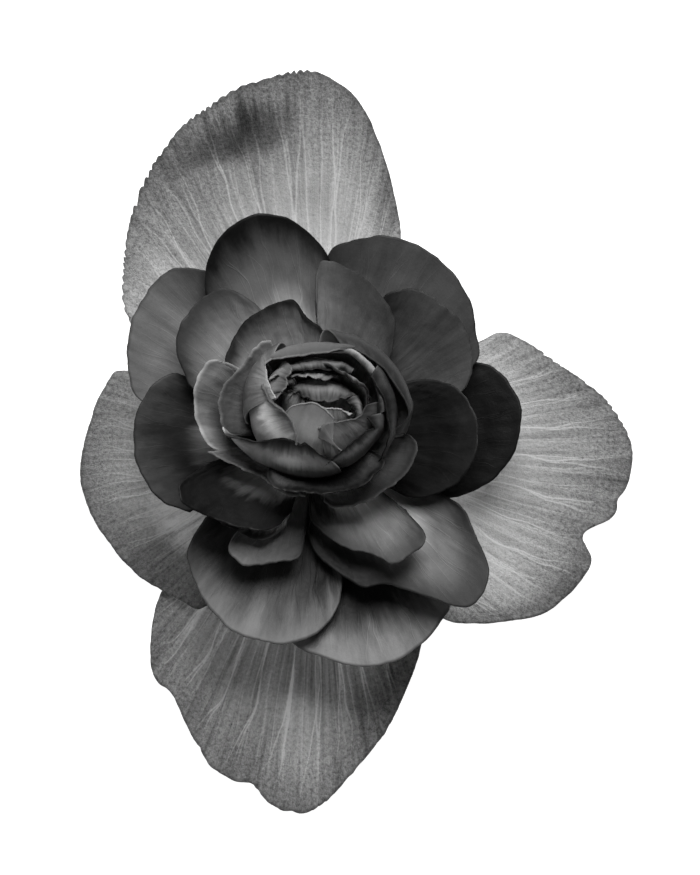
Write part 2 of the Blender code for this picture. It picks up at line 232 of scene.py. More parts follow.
def veinLines(tree, across, along, count, seed):
    # thin lines run out from the root, wander a little, and some fork on the way to the rim
    wander = tree.noise(tree.point(across * 3, along * 2.2, seed), detail=2.0) - 0.5
    lane = across * count + wander * veinShape["wander"]
    middle = lane.math("ROUND")
    chance = tree.node("ShaderNodeTexWhiteNoise", dict(noise_dimensions="2D"),
                       {"Vector": tree.point(middle, seed)})
    split = tree.smooth(along - chance * 0.5, veinShape["forkFrom"], veinShape["forkTo"]) * veinShape["fork"]
    shift = (chance - 0.5) * veinShape["jitter"]
    away = ((lane - middle + shift).math("ABSOLUTE") - split).math("ABSOLUTE")
    strength = veinShape["faintest"] + chance * (1 - veinShape["faintest"])
    return (1 - tree.smooth(away * along, 0.0, count * veinShape["width"])) * strength


# Fine relief of a petal, the same tree for all: veins, long wrinkles and a soft crumple
def reliefTree():
    inputs = dict.fromkeys(("Vein count", "Vein height", "Wrinkle count", "Wrinkle height", "Crumple height",
                            "Seed"), "Float")
    group = newGroup("petalRelief", "Petal", "Petal", {**inputs, "Finish": "Material"})
    tree = Tree(group)
    given = tree.node("NodeGroupInput")
    place = tree.node("GeometryNodeInputNamedAttribute", dict(data_type="FLOAT_VECTOR"), {"Name": "petal"})
    split = tree.node("ShaderNodeSeparateXYZ", None, {"Vector": place})
    across, along = split, split.other("Y")
    seed = given.other("Seed")
    veins = veinLines(tree, across, along, given.other("Vein count"), seed)
    wrinkled = tree.point(across * given.other("Wrinkle count"), along * 4, seed)
    wrinkles = tree.noise(wrinkled, detail=3.0) - 0.5
    crumple = tree.noise(tree.point(across * 7, along * 5, seed + 5.0), detail=2.0) - 0.5
    rise = veins * given.other("Vein height") + wrinkles * given.other("Wrinkle height")
    rise = (rise + crumple * given.other("Crumple height")) * tree.smooth(along, 0.12, 0.4)
    normal = tree.node("GeometryNodeInputNormal")
    offset = tree.node("ShaderNodeVectorMath", dict(operation="SCALE"), {0: normal, "Scale": rise})
    moved = tree.node("GeometryNodeSetPosition", None, {"Geometry": given, "Offset": offset})
    real = tree.node("GeometryNodeRealizeInstances", None, {"Geometry": moved})
    finish = given.other("Finish")
    dressed = tree.node("GeometryNodeSetMaterial", None, {"Geometry": real, "Material": finish})
    tree.node("NodeGroupOutput", None, {"Petal": dressed})
    return group


petalRelief = reliefTree()


# The skin of a petal: its tone from root to rim and side to side, which holds painted shade and painted light
# as well as the petal's own colour, darker or paler patches, streaks and veins along it, a net of fine cells,
# and a grain. A patch is its place u, v, its width and length, and the change.
# These values are the same for all petals.
skinDetail = dict(toneStart=0.3, toneDrift=0.14, sideReach=0.4, fineVeins=2.3, fineVeinShare=0.4,
                  veinsFade=(0.8, 1.02), cellsAlong=60, cellShare=0.2, cellWall=0.25, grainSize=1500.0,
                  grainShare=3.0, rimGrainFrom=0.5, sideEdge=(0.002, 0.016), rimEdge=0.998, palest=0.85,
                  roughness=0.5, bumpStrength=0.5, backLight=0.7)


def petalSkin(name, look):
    skin, tree = newSkin(name + "Skin")
    place = tree.node("ShaderNodeUVMap", dict(uv_map="petal"))
    split = tree.node("ShaderNodeSeparateXYZ", None, {"Vector": place})
    across, along = split, split.other("Y")
    seed = look["seed"]
    inner, middle, rim = look["tones"]
    startSide, endSide = look["sides"]
    blotch = tree.noise(tree.point(across * 4, along * 3, seed + 2.0), detail=4.0) - 0.5
    streaked = tree.point(across * look["streakCount"], along * 1.8, seed)
    streaks = tree.noise(streaked, detail=5.0, roughness=0.6) - 0.5
    drift = along + blotch * skinDetail["toneDrift"] + streaks * look["flames"]
    low = tree.smooth(drift, skinDetail["toneStart"], look["turn"])
    high = tree.smooth(drift, look["turn"], 1.0)
    # tones from root to rim, then the side factors: the petal's own colour together with painted shade and
    # painted light
    tone = inner + low * (middle - inner) + high * (rim - middle)
    atStart = 1 - tree.smooth(across, 0.0, skinDetail["sideReach"])
    atEnd = tree.smooth(across, 1 - skinDetail["sideReach"], 1.0)
    tone = tone * (1 + atStart * (startSide - 1) + atEnd * (endSide - 1))
    # a patch lightens or darkens a spot; on the rosette and heart these are painted shadows and painted
    # highlights
    for u, v, wide, long, change in look.get("patches", ()):
        away = ((across - u) / wide) ** 2.0 + ((drift - v) / long) ** 2.0
        tone = tone * (1 + (1 - tree.smooth(away, 0.0, 1.0)) * change)
    tone = tone * (1 + streaks * look["streaks"] + blotch * look["blotches"])
    veins = veinLines(tree, across, along, look["veinCount"], seed)
    fineVeins = veinLines(tree, across, along, look["veinCount"] * skinDetail["fineVeins"], seed + 4.0)
    veins = veins + fineVeins * skinDetail["fineVeinShare"]
    veins = veins * (1 - tree.smooth(drift, *skinDetail["veinsFade"]))
    tone = tone * (1 + veins * look["veins"])
    cellPlace = tree.point(across * look["streakCount"] * 4, along * skinDetail["cellsAlong"], seed)
    net = tree.node("ShaderNodeTexVoronoi", dict(feature="DISTANCE_TO_EDGE"),
                    {"Vector": cellPlace, "Scale": 1.0})
    walls = 1 - tree.smooth(net, 0.0, skinDetail["cellWall"])
    coordinates = tree.node("ShaderNodeTexCoord", None, None, "Object")
    grain = tree.noise(coordinates, detail=4.0, roughness=0.75, scale=skinDetail["grainSize"]) - 0.5
    mottle = grain * skinDetail["grainShare"] + walls * skinDetail["cellShare"]
    mottle = mottle * (0.5 + tree.smooth(along, skinDetail["rimGrainFrom"], 1.0) * look["rimGrain"])
    tone = tone * (1 + mottle * look["grain"])
    # a band along the rim and sides: below 0, edge gives a thin dark line; above 0, on heart and guard
    # petals, a painted highlight
    side = across.math("MINIMUM", 1 - across)
    edge = tree.smooth(along, look["edgeFrom"], skinDetail["rimEdge"])
    edge = edge.math("MAXIMUM", 1 - tree.smooth(side, *skinDetail["sideEdge"]))
    tone = tone * (1 + edge * look["edge"])
    tone = tone.math("MAXIMUM", 0.0).math("MINIMUM", skinDetail["palest"])
    height = streaks * 0.6 + veins * look["veinBump"] + mottle * look["grain"]
    bump = tree.node("ShaderNodeBump", None, {"Strength": skinDetail["bumpStrength"],
                                              "Distance": look["bump"] * mm, "Height": height})
    roughness = skinDetail["roughness"] + mottle * 0.2 - veins * 0.06
    shader = tree.node("ShaderNodeBsdfPrincipled", None,
                       {"Base Color": tree.grey(tone), "Roughness": roughness, "Normal": bump,
                        "Specular IOR Level": look["gloss"]})
    if look["glow"]:
        # thin enough for the light of the table to come through, most of all where the skin is pale
        pale = (*[skinDetail["backLight"]] * 3, 1)
        through = tree.node("ShaderNodeBsdfTranslucent", None, {"Color": pale, "Normal": bump})
        shader = tree.node("ShaderNodeMixShader", None, {0: tone * look["glow"], 1: shader, 2: through})
    tree.node("ShaderNodeOutputMaterial", None, {"Surface": shader})
    return skin


def addMesh(name, points, faces, place=None):
    mesh = bpy.data.meshes.new(name)
    mesh.from_pydata((points * mm).tolist(), [], faces)
    if place is not None:
        layer = mesh.uv_layers.new(name="petal")
        corners = np.zeros(len(mesh.loops), int)
        mesh.loops.foreach_get("vertex_index", corners)
        layer.data.foreach_set("uv", place[corners].ravel())
    mesh.shade_smooth()
    obj = bpy.data.objects.new(name, mesh)
    bpy.context.scene.collection.objects.link(obj)
    return obj


def gridFaces(rows, columns):
    first = (np.arange(rows - 1)[:, None] * columns + np.arange(columns - 1)).ravel()
    return np.stack([first, first + columns, first + columns + 1, first + 1], -1).tolist()


def applyModifiers(obj):
    depsgraph = bpy.context.evaluated_depsgraph_get()
    made = bpy.data.meshes.new_from_object(obj.evaluated_get(depsgraph))
    obj.modifiers.clear()
    obj.vertex_groups.clear()
    obj.data = made
    obj.data.shade_smooth()


# the margin of a petal turns down: how wide it is, how far it turns in degrees, and its rows of faces
rimRoll = dict(reach=0.4, turn=50, rows=6)
# the wall thins over the last part of the petal and its outer columns of faces, in a few levels
wallFade = dict(reach=0.14, columns=6, levels=8)


def rolledSheet(surface, columns, rows, roll):
    # points of a surface(u, v) with its rolled margin, and the place u, v of each
    u = np.linspace(0, 1, columns)
    step = 0.02
    ends = [surface(u, np.full(columns, v)) for v in (1 - step, 1.0)]
    length = np.linalg.norm(ends[1] - ends[0], axis=-1) / step
    stop = 1 - roll["reach"] / length
    flatRows = np.linspace(0, 1, rows)[:, None] * stop
    sheet = surface(np.broadcast_to(u, flatRows.shape), flatRows)
    outward = sheet[-1] - sheet[-2]
    outward /= np.linalg.norm(outward, axis=-1)[:, None]
    up = np.cross(outward, np.gradient(sheet[-1], axis=0))
    up /= np.linalg.norm(up, axis=-1)[:, None]
    turn = math.radians(roll["turn"])
    radius = roll["reach"] / math.sin(turn)
    lip = np.arange(1, roll["rows"] + 1)[:, None] / roll["rows"]
    bend = (turn * lip)[..., None]
    arc = sheet[-1] + radius * np.sin(bend) * outward - radius * (1 - np.cos(bend)) * up
    v = np.concatenate([flatRows, stop + (1 - stop) * lip])
    return np.concatenate([sheet, arc]), np.stack([np.broadcast_to(u, v.shape), v], -1)


def makePetal(name, surface, shape, look, roll=rimRoll):
    points, place = rolledSheet(surface, shape["columns"], shape["rows"], roll)
    obj = addMesh(name, points.reshape(-1, 3), gridFaces(*place.shape[:2]), place.reshape(-1, 2))
    # thickness fades towards the rim, through a vertex group that Solidify reads
    side = np.minimum(place[..., 0], 1 - place[..., 0]) * shape["columns"] / wallFade["columns"]
    near = smoothStep(np.minimum((1 - place[..., 1]) / wallFade["reach"], side)).ravel()
    levels = wallFade["levels"]
    walls = obj.vertex_groups.new(name="wall")
    for level in range(levels + 1):
        walls.add(np.flatnonzero(np.round(near * levels) == level).tolist(), level / levels, "REPLACE")
    addTree(obj, petalRelief, {
        "Vein count": look["veinCount"], "Vein height": look["veinHeight"] * mm,
        "Wrinkle count": look["wrinkleCount"], "Wrinkle height": look["wrinkleHeight"] * mm,
        "Crumple height": look["crumple"] * mm, "Seed": look["seed"], "Finish": petalSkin(name, look)})
    wall = obj.modifiers.new("wall", "SOLIDIFY")
    wall.thickness = shape["thickness"] * mm
    wall.offset = 0
    wall.vertex_group = "wall"
    wall.thickness_vertex_group = shape["rimThickness"] / shape["thickness"]
    applyModifiers(obj)
    return obj


def dress(obj, node):
    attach(obj, "root")
    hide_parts(node)


def pieceName(node):
    first, *others = node.split("_")
    return first + "".join(word.capitalize() for word in others)


# Tepals: outlines as in the solids. Root is the height where one leaves the receptacle, reach its length,
# touch the share of it over which it comes down to rest, low its height over the usual rest, sides the lift
# of its two sides, and rimLift that of its tip. Teeth give where they run, from u to u, with their length and
# depth, and a nick its place, width and depth. A look's tones are at the root, the middle and the rim, and
# its sides multiply them at the two sides. These tones and sides hold painted light as well as the tepal's
# own
# colour: the root and sides are made paler where the rosette above shades them.
tepalShape = dict(thickness=0.45, rimThickness=0.25, restHeight=0.45, edgeStart=0.8, waveHeight=0.5, waves=4,
                  waveStart=0.45, waveRun=0.5)
tepals = {
    "tepal_top": dict(
        root=6.8, reach=75, touch=0.64, low=-0.1, sides=(1.6, 0.6), rimLift=3.4, columns=420, rows=90,
        rim=((9, 10), (14.5, 25), (16.2, 40.4), (14.8, 49.2), (12, 59), (7.6, 68.2), (2.6, 72.2),
             (-2.6, 74.4), (-8.6, 73.4), (-17.6, 70), (-28.4, 62.2), (-36.2, 50.4), (-39.4, 35.6),
             (-37, 22), (-16, 6)),
        teeth=(0.4, 0.86, 1.9, 0.8),
        look=dict(tones=(0.75, 0.35, 0.15), sides=(2.5, 3), seed=1.0,
                  patches=((0.5, 0.87, 0.07, 0.1, -0.65), (0.54, 0.9, 0.07, 0.08, -0.55),
                           (0.59, 0.93, 0.06, 0.07, -0.45), (0.53, 0.8, 0.13, 0.18, -0.3),
                           (0.24, 0.95, 0.05, 0.3, -0.4)))),
    "tepal_left": dict(
        root=8.3, reach=49, touch=0.86, low=-1.3, sides=(6.0, 8.6), rimLift=1.0, columns=300, rows=80,
        rim=((-24, 10), (-38.6, 13.8), (-42.8, 11.4), (-47.2, 0.6), (-47.6, -10), (-43, -20),
             (-35.2, -28), (-27.4, -32.6), (-23, -33.4), (-14, -24)),
        look=dict(tones=(0.8, 0.46, 0.15), sides=(3, 1), seed=2.0,
                  patches=((0.63, 0.66, 0.14, 0.14, 0.5),))),
    "tepal_bottom": dict(
        root=6.8, reach=74, touch=0.62, low=-0.1, sides=(0.0, 1.2), rimLift=2.4, columns=420, rows=90,
        rim=((-24, -20), (-32, -30.8), (-34, -43.6), (-32.6, -48.6), (-29.6, -51.4), (-23.4, -63.6),
             (-17.8, -68), (-13.6, -68.8), (-10.4, -72.8), (-4.8, -75.2), (0.8, -72.8), (7.4, -65.6),
             (14.2, -56.6), (20.4, -41), (19, -26), (8, -9)),
        teeth=(0.28, 0.7, 2.6, 0.2), nicks=((0.315, 0.012, 0.5), (0.47, 0.01, 0.6)),
        look=dict(tones=(0.46, 0.4, 0.15), sides=(1.6, 1), seed=3.0,
                  patches=((0.66, 0.9, 0.09, 0.3, -0.2),))),
    "tepal_right": dict(
        root=8.3, reach=64, touch=0.84, low=-1.3, sides=(7.0, 4.0), rimLift=1.4, columns=340, rows=90,
        rim=((15, -26), (25, -35.8), (38, -36.4), (46.8, -33.6), (54.2, -25.2), (52.8, -19),
             (59.6, -14.4), (62.6, -2.8), (58.6, 6.6), (49, 14.8), (38.2, 21.2), (32.2, 19.8), (22, 14),
             (9, 6)),
        teeth=(0.5, 0.74, 1.7, 0.5), nicks=((0.455, 0.012, 0.9),),
        look=dict(tones=(0.85, 0.4, 0.18), sides=(2.3, 3), seed=4.0,
                  patches=((0.24, 0.98, 0.16, 0.09, -0.45),))),
}


# unevenness of all rims, as depth and count, and how the teeth differ and fade at their ends
rimShape = dict(depth=0.25, swells=7, fineDepth=0.08, fineSwells=27, toothDrift=1.1, toothPeak=0.3,
                teethFade=0.04, toothSpread=(0.7, 0.6))


def rimEdge(spec, u):
    # how far the rim falls short of its outline, in millimetres: teeth, nicks and a little unevenness
    seed = spec["look"]["seed"]
    short = rimShape["depth"] * (1 + ripple(u, seed, rimShape["swells"]))
    short = short + rimShape["fineDepth"] * ripple(u, seed + 3, rimShape["fineSwells"])
    if "teeth" in spec:
        start, end, pitch, depth = spec["teeth"]
        length = np.sum(np.linalg.norm(np.diff(spec["rim"], axis=0), axis=1))
        phase = u * length / pitch + rimShape["toothDrift"] * ripple(u, seed + 1, 9)
        tooth = np.abs((phase % 1) - rimShape["toothPeak"]) / (1 - rimShape["toothPeak"])
        fade = rimShape["teethFade"]
        inside = smoothStep((u - start) / fade) * smoothStep((end - u) / fade)
        usual, spread = rimShape["toothSpread"]
        short = short + depth * tooth * inside * (usual + spread * ripple(u, seed + 7, 14))
    for place, width, deep in spec.get("nicks", ()):
        short = short + deep * np.exp(-((u - place) / width) ** 2)
    return short


def flatBlade(spec, rootZ, edgeStart, u, v):
    # a place on the blade seen from above, from its root out to its rim with teeth and nicks
    rim = smoothPath(spec["rim"], u)
    root = rootArc(spec["rim"], rootZ, u)
    short = rimEdge(spec, u) / np.linalg.norm(rim - root, axis=-1)
    return blend(root, rim, v * (1 - short * smoothStep((v - edgeStart) / (1 - edgeStart))))


def tepalSurface(spec):
    middle = axisAt(spec["root"])
    start, end = spec["sides"]
    rest = tepalShape["restHeight"]

    def surface(u, v):
        flat = flatBlade(spec, spec["root"], tepalShape["edgeStart"], u, v)
        along = np.linalg.norm(flat - middle, axis=-1) / spec["reach"]
        low = rest + spec["low"] + start * (1 - u) ** 3 + end * u ** 3
        z = spec["root"] + (low - spec["root"]) * smoothStep(along / spec["touch"])
        z = z + spec["rimLift"] * np.maximum(0, (along - spec["touch"]) / (1 - spec["touch"])) ** 2
        wave = tepalShape["waveHeight"] * ripple(u, spec["look"]["seed"] + 11, tepalShape["waves"])
        wave = wave * smoothStep((v - tepalShape["waveStart"]) / tepalShape["waveRun"])
        return truePlace(flat, np.maximum(rest, z + np.maximum(wave, 0)))

    return surface


# turn is where the middle tone lies along a petal, and glow how much of the table's light comes through
tepalLook = dict(streaks=2.4, streakCount=80.0, blotches=1.3, flames=0.16, veins=1.5, veinCount=16.0,
                 veinBump=0.6, grain=0.7, rimGrain=1.2, edge=-0.4, edgeFrom=0.985, bump=0.8, gloss=0.14,
                 glow=0.75, turn=0.65, veinHeight=0.08, wrinkleCount=60.0, wrinkleHeight=0.45, crumple=0.6)
print("tepals")
for node, spec in tepals.items():
    spec["look"] = {**tepalLook, **spec["look"]}
    obj = makePetal(pieceName(node), tepalSurface(spec), {**tepalShape, **spec}, spec["look"])
    dress(obj, node)


# Rosette and guard petals: row, and the rim anticlockwise from one side of the root round to the other.
# Cup lifts the sides, curl the rim, and wave is height and count.
# A look's tones, sides and patches hold the petal's own colour together with painted shade: the dark roots of
# the lower petals stand for the shade under the heart, the dark rims of the upper petals (second_petal_top,
# third_petal_top, third_petal_upper_left, fourth_petal_upper_left, outer_petal_upper_right) for their turn
# away from the key light, and the darker patches for shadows cast by the heart and by petals lying over them.
rosette = {
    "outer_petal_right": dict(
        row=0.6, cup=0.4, curl=0.8, wave=(0.3, 2),
        rim=((9, -7), (17, -11), (24, -11.8), (32, -9.8), (38.4, -3.6), (40.4, 3), (39.8, 8), (36.8, 13),
             (32.8, 15.4), (26, 15)),
        look=dict(tones=(0.003, 0.003, 0.003), sides=(1, 3))),
    "outer_petal_upper_right": dict(
        row=1.2, cup=0.6, curl=1, wave=(0.4, 3),
        rim=((24, 10), (31.4, 16), (31.4, 22), (29.6, 29), (24.2, 36.2), (16, 40.4), (11, 41),
             (5.2, 39.6), (1.6, 36.8), (0.5, 28)),
        look=dict(tones=(0.17, 0.09, 0.049), sides=(1, 0.2))),
    "outer_petal_upper_left": dict(
        row=1, cup=0.6, curl=1.2, wave=(0.4, 2),
        rim=((-20, 33), (-25, 34.5), (-30, 34), (-34, 30.8), (-37.4, 24.6), (-38.8, 18), (-38.2, 13),
             (-36, 8), (-25, 5)),
        look=dict(tones=(0.18, 0.18, 0.11), sides=(0.22, 1))),
    "outer_petal_bottom": dict(
        row=1, cup=0.5, curl=0.8, wave=(0.4, 2),
        rim=((-4, -9), (-9, -24), (-8, -37), (-4.8, -41.2), (0, -43.6), (8, -45.4), (15.4, -44.2),
             (21, -40.4), (24.8, -35.8), (26, -31), (22, -19), (9, -7)),
        # near-black root and middle: painted shade under the heart; the rim is lighter
        look=dict(tones=(0.003, 0.0048, 0.16), sides=(1, 1))),
    "second_petal_top": dict(
        row=2, cup=0.8, curl=0.8, wave=(0.4, 2),
        rim=((3.5, 12), (3.5, 26), (1.4, 37), (-4.4, 43.4), (-9.6, 45.4), (-15, 44.4), (-20, 40.8),
             (-22.6, 36), (-23, 29.6), (-20, 20), (-9, 8)),
        # near-black rim: painted shade where the rim turns away from the key light
        look=dict(tones=(0.85, 0.12, 0.003), sides=(1, 1))),
    "second_petal_right": dict(
        row=2, cup=0.8, curl=1, wave=(0.4, 3),
        rim=((23, 6), (29, 10.4), (30.6, 16), (29.8, 21), (26.6, 25.6), (20, 30), (14.4, 29.8),
             (11.5, 27)),
        look=dict(tones=(0.025, 0.05, 0.043), sides=(2.9, 0.2))),
    "second_petal_lower_right": dict(
        row=2.4, cup=0.6, curl=0.4, wave=(0.3, 2),
        rim=((-2.4, -18.5), (-0.2, -23.6), (8, -29.2), (13.4, -29), (20.4, -31), (29.2, -33.6),
             (32.6, -31), (33.8, -26), (31.8, -20.4), (28.5, -13.6), (20, -9)),
        # the darker patch is a painted shadow of the petal that lies over this one
        look=dict(tones=(0.76, 0.14, 0.034), sides=(0.33, 0.2),
                  patches=((0.2, 0.85, 0.16, 0.25, -0.8),))),
    "second_petal_bottom": dict(
        row=1.7, cup=0.6, curl=0.6, wave=(0.3, 2),
        rim=((-23, -15.6), (-26.4, -22), (-25.4, -28), (-23.2, -32.4), (-17, -38.6), (-9, -40.9),
             (-2.4, -39.6), (2, -36.4), (4.2, -30.5), (3.6, -20)),
        # dark root: painted shade under the heart; the patch is a painted shadow of the heart
        look=dict(tones=(0.02, 0.035, 0.12), sides=(0.3, 0.4),
                  patches=((0.78, 0.6, 0.22, 0.3, -0.9),))),
    "second_petal_left": dict(
        row=2.2, cup=0.8, curl=1.2, wave=(0.3, 2),
        rim=((-7, 5), (-18, 10), (-26, 12.4), (-30, 13.4), (-34, 10.4), (-37, 5), (-37.4, -1),
             (-35.8, -7), (-32, -12.2), (-26, -14.4)),
        look=dict(tones=(0.57, 0.018, 0.044), sides=(1, 0.24))),
    "third_petal_top": dict(
        row=3, cup=0.8, curl=0.6, wave=(0.3, 2),
        rim=((8, 7), (13.4, 15), (15, 21.4), (14.2, 26.2), (10.2, 31.4), (5.2, 34.8), (0.8, 36),
             (-0.6, 33.6), (-0.8, 28)),
        look=dict(tones=(0.11, 0.092, 0.044), sides=(1, 2.8))),
    "third_petal_upper_left": dict(
        row=3, cup=0.8, curl=0.8, wave=(0.4, 3),
        rim=((-8, 20), (-12, 26.2), (-16, 29.2), (-20, 30.3), (-24.4, 28), (-27.8, 23.2), (-29, 18.6),
             (-27.6, 14.4), (-25, 10), (-16, 5)),
        look=dict(tones=(0.29, 0.22, 0.04), sides=(3, 1))),
    "third_petal_right": dict(
        row=3, cup=0.8, curl=1, wave=(0.3, 2),
        rim=((14, -9.5), (19, -11.6), (26, -9.6), (29.8, -6), (31.7, 0), (31.2, 5.4), (27.8, 10),
             (23.6, 12), (18, 11.8), (12, 9)),
        look=dict(tones=(0.0068, 0.0055, 0.01), sides=(0.2, 3))),
    "third_petal_lower_right": dict(
        row=3.5, cup=0.4, curl=-0.8, wave=(0.3, 2),
        rim=((-2.2, -11), (-1.4, -16.6), (4, -21), (11.6, -23.4), (15, -24.8), (19.8, -22), (21, -19),
             (17.4, -14.2)),
        # the darker patch is a painted shadow of the heart
        look=dict(tones=(0.85, 0.19, 0.063), sides=(0.22, 0.34),
                  patches=((0.2, 0.6, 0.18, 0.3, -0.85),))),
    "third_petal_bottom": dict(
        row=3, cup=0.4, curl=0.3, wave=(0.2, 2),
        rim=((-6, -5), (-12, -13), (-18.2, -21), (-16.4, -24.4), (-14, -25.4), (-9, -24.5),
             (-4.4, -23.8), (-3.2, -20)),
        look=dict(tones=(0.41, 0.14, 0.085), sides=(1, 0.33))),
    "third_petal_lower_left": dict(
        row=3.5, cup=0.3, curl=0.2, wave=(0.2, 2),
        rim=((-8, -4), (-16, -10), (-20, -15.6), (-17, -18.2), (-13, -19.9), (-10, -19.8), (-7, -17.6)),
        look=dict(tones=(0.85, 0.85, 0.013), sides=(1, 3))),
    "fourth_petal_upper_left": dict(
        row=4, cup=0.6, curl=0.4, wave=(0.4, 3),
        rim=((1, 8), (1.6, 16), (0.4, 22.2), (-3, 24.8), (-4.6, 27.4), (-6.6, 28.4), (-11.6, 26.2),
             (-15.8, 23), (-18.4, 18.4), (-18.4, 13.6), (-12, 8)),
        look=dict(tones=(0.27, 0.21, 0.013), sides=(1, 3))),
    "fourth_petal_lower_left": dict(
        row=4, cup=0.5, curl=0.4, wave=(0.3, 2),
        rim=((-14, -2), (-21.4, -4.4), (-26, -7), (-28.4, -9.4), (-26.8, -13.2), (-20.8, -16),
             (-13.6, -18.2), (-9, -17.4), (-5.8, -14.4)),
        look=dict(tones=(0.49, 0.0094, 0.003), sides=(1, 3))),
    # the guard petals' edge of 0.6 lightens a band along their rims: a painted highlight
    "guard_petal_far_left": dict(
        row=4.6, cup=0.4, curl=0.4, wave=(0.3, 2),
        rim=((-7, 8), (-16, 14), (-21.4, 16.2), (-24.2, 13.6), (-25.4, 8), (-24.6, 3), (-20.8, -2),
             (-13, -1)),
        look=dict(tones=(0.052, 0.083, 0.16), sides=(1, 2.4), edge=0.6, edgeFrom=0.96)),
    "guard_petal_lower_left": dict(
        row=4.95, cup=0.3, curl=0.3, wave=(0.2, 2),
        rim=((-22.6, -2.4), (-17, -5.2), (-11.6, -7.6), (-7.4, -10.8), (-3, -11.5)),
        look=dict(tones=(0.42, 0.42, 0.15), sides=(0.72, 0.86), edge=0.6, edgeFrom=0.96)),
    "guard_petal_lower_right": dict(
        row=4.8, cup=0.3, curl=0.4, wave=(0.2, 2),
        rim=((0.8, -12.4), (4, -13.8), (10.6, -11.8), (16, -8), (19.2, -3.8), (19, 0.2), (16, 1.4),
             (11, 1.6)),
        look=dict(tones=(0.086, 0.091, 0.025), sides=(3, 0.21), edge=0.6, edgeFrom=0.96)),
    "guard_petal_left": dict(
        row=5.6, cup=0.2, curl=0.5, wave=(0.3, 3),
        rim=((-10, 20.2), (-12.4, 19.2), (-16.8, 13.8), (-20, 10), (-20.2, 5.6), (-18.8, 1.4), (-12, 1)),
        look=dict(tones=(0.094, 0.11, 0.059), sides=(2.4, 0.28), edge=0.6, edgeFrom=0.96)),
    "guard_petal_front": dict(
        row=5.8, cup=0.2, curl=0.3, wave=(0.2, 2),
        rim=((-9, -4), (-10.8, -7.2), (-8, -10), (0, -10.8), (7, -9.8), (11.2, -7), (13, -4.2), (9, -1.5)),
        # the dark patch is painted shade between the heart and this petal's rim
        look=dict(tones=(0.044, 0.057, 0.003), sides=(3, 1.7),
                  edge=0.6, edgeFrom=0.96, patches=((0.5, 0.68, 0.4, 0.24, -0.9),))),
}


rosetteShape = dict(thickness=0.5, rimThickness=0.3, columns=120, rows=60, edgeStart=0.7, curlStart=0.6)


def rosetteSurface(spec):
    row = spec["row"]
    lift, waves = spec["wave"]

    def surface(u, v):
        flat = flatBlade(spec, rootHeight(row), rosetteShape["edgeStart"], u, v)
        z, radius = leaningBowl(row, flat)
        extra = spec["cup"] * (2 * u - 1) ** 4 * v
        curlStart = rosetteShape["curlStart"]
        extra = extra + spec["curl"] * smoothStep((v - curlStart) / (1 - curlStart))
        extra = extra + lift * np.sin(math.tau * waves * u + row) * v ** 3
        z = z + extra * smoothStep((radius - bloom["clearOfNeighbours"]) / bloom["freeRun"])
        return truePlace(flat, z)

    return surface


rosetteLook = dict(streaks=1.6, streakCount=15.0, blotches=0.6, flames=0.36, veins=0.4, veinCount=10.0,
                   veinBump=0.5, grain=0.16, rimGrain=0.3, edge=-0.5, edgeFrom=0.985, bump=0.3, gloss=0.16,
                   glow=0.0, turn=0.68, veinHeight=0.04, wrinkleCount=20.0, wrinkleHeight=0.4, crumple=0.8)
print("rosette and guard petals")
for number, (node, spec) in enumerate(rosette.items()):
    spec["look"] = {**rosetteLook, "seed": 10.0 + number, **spec["look"]}
    obj = makePetal(pieceName(node), rosetteSurface(spec), rosetteShape, spec["look"])
    dress(obj, node)


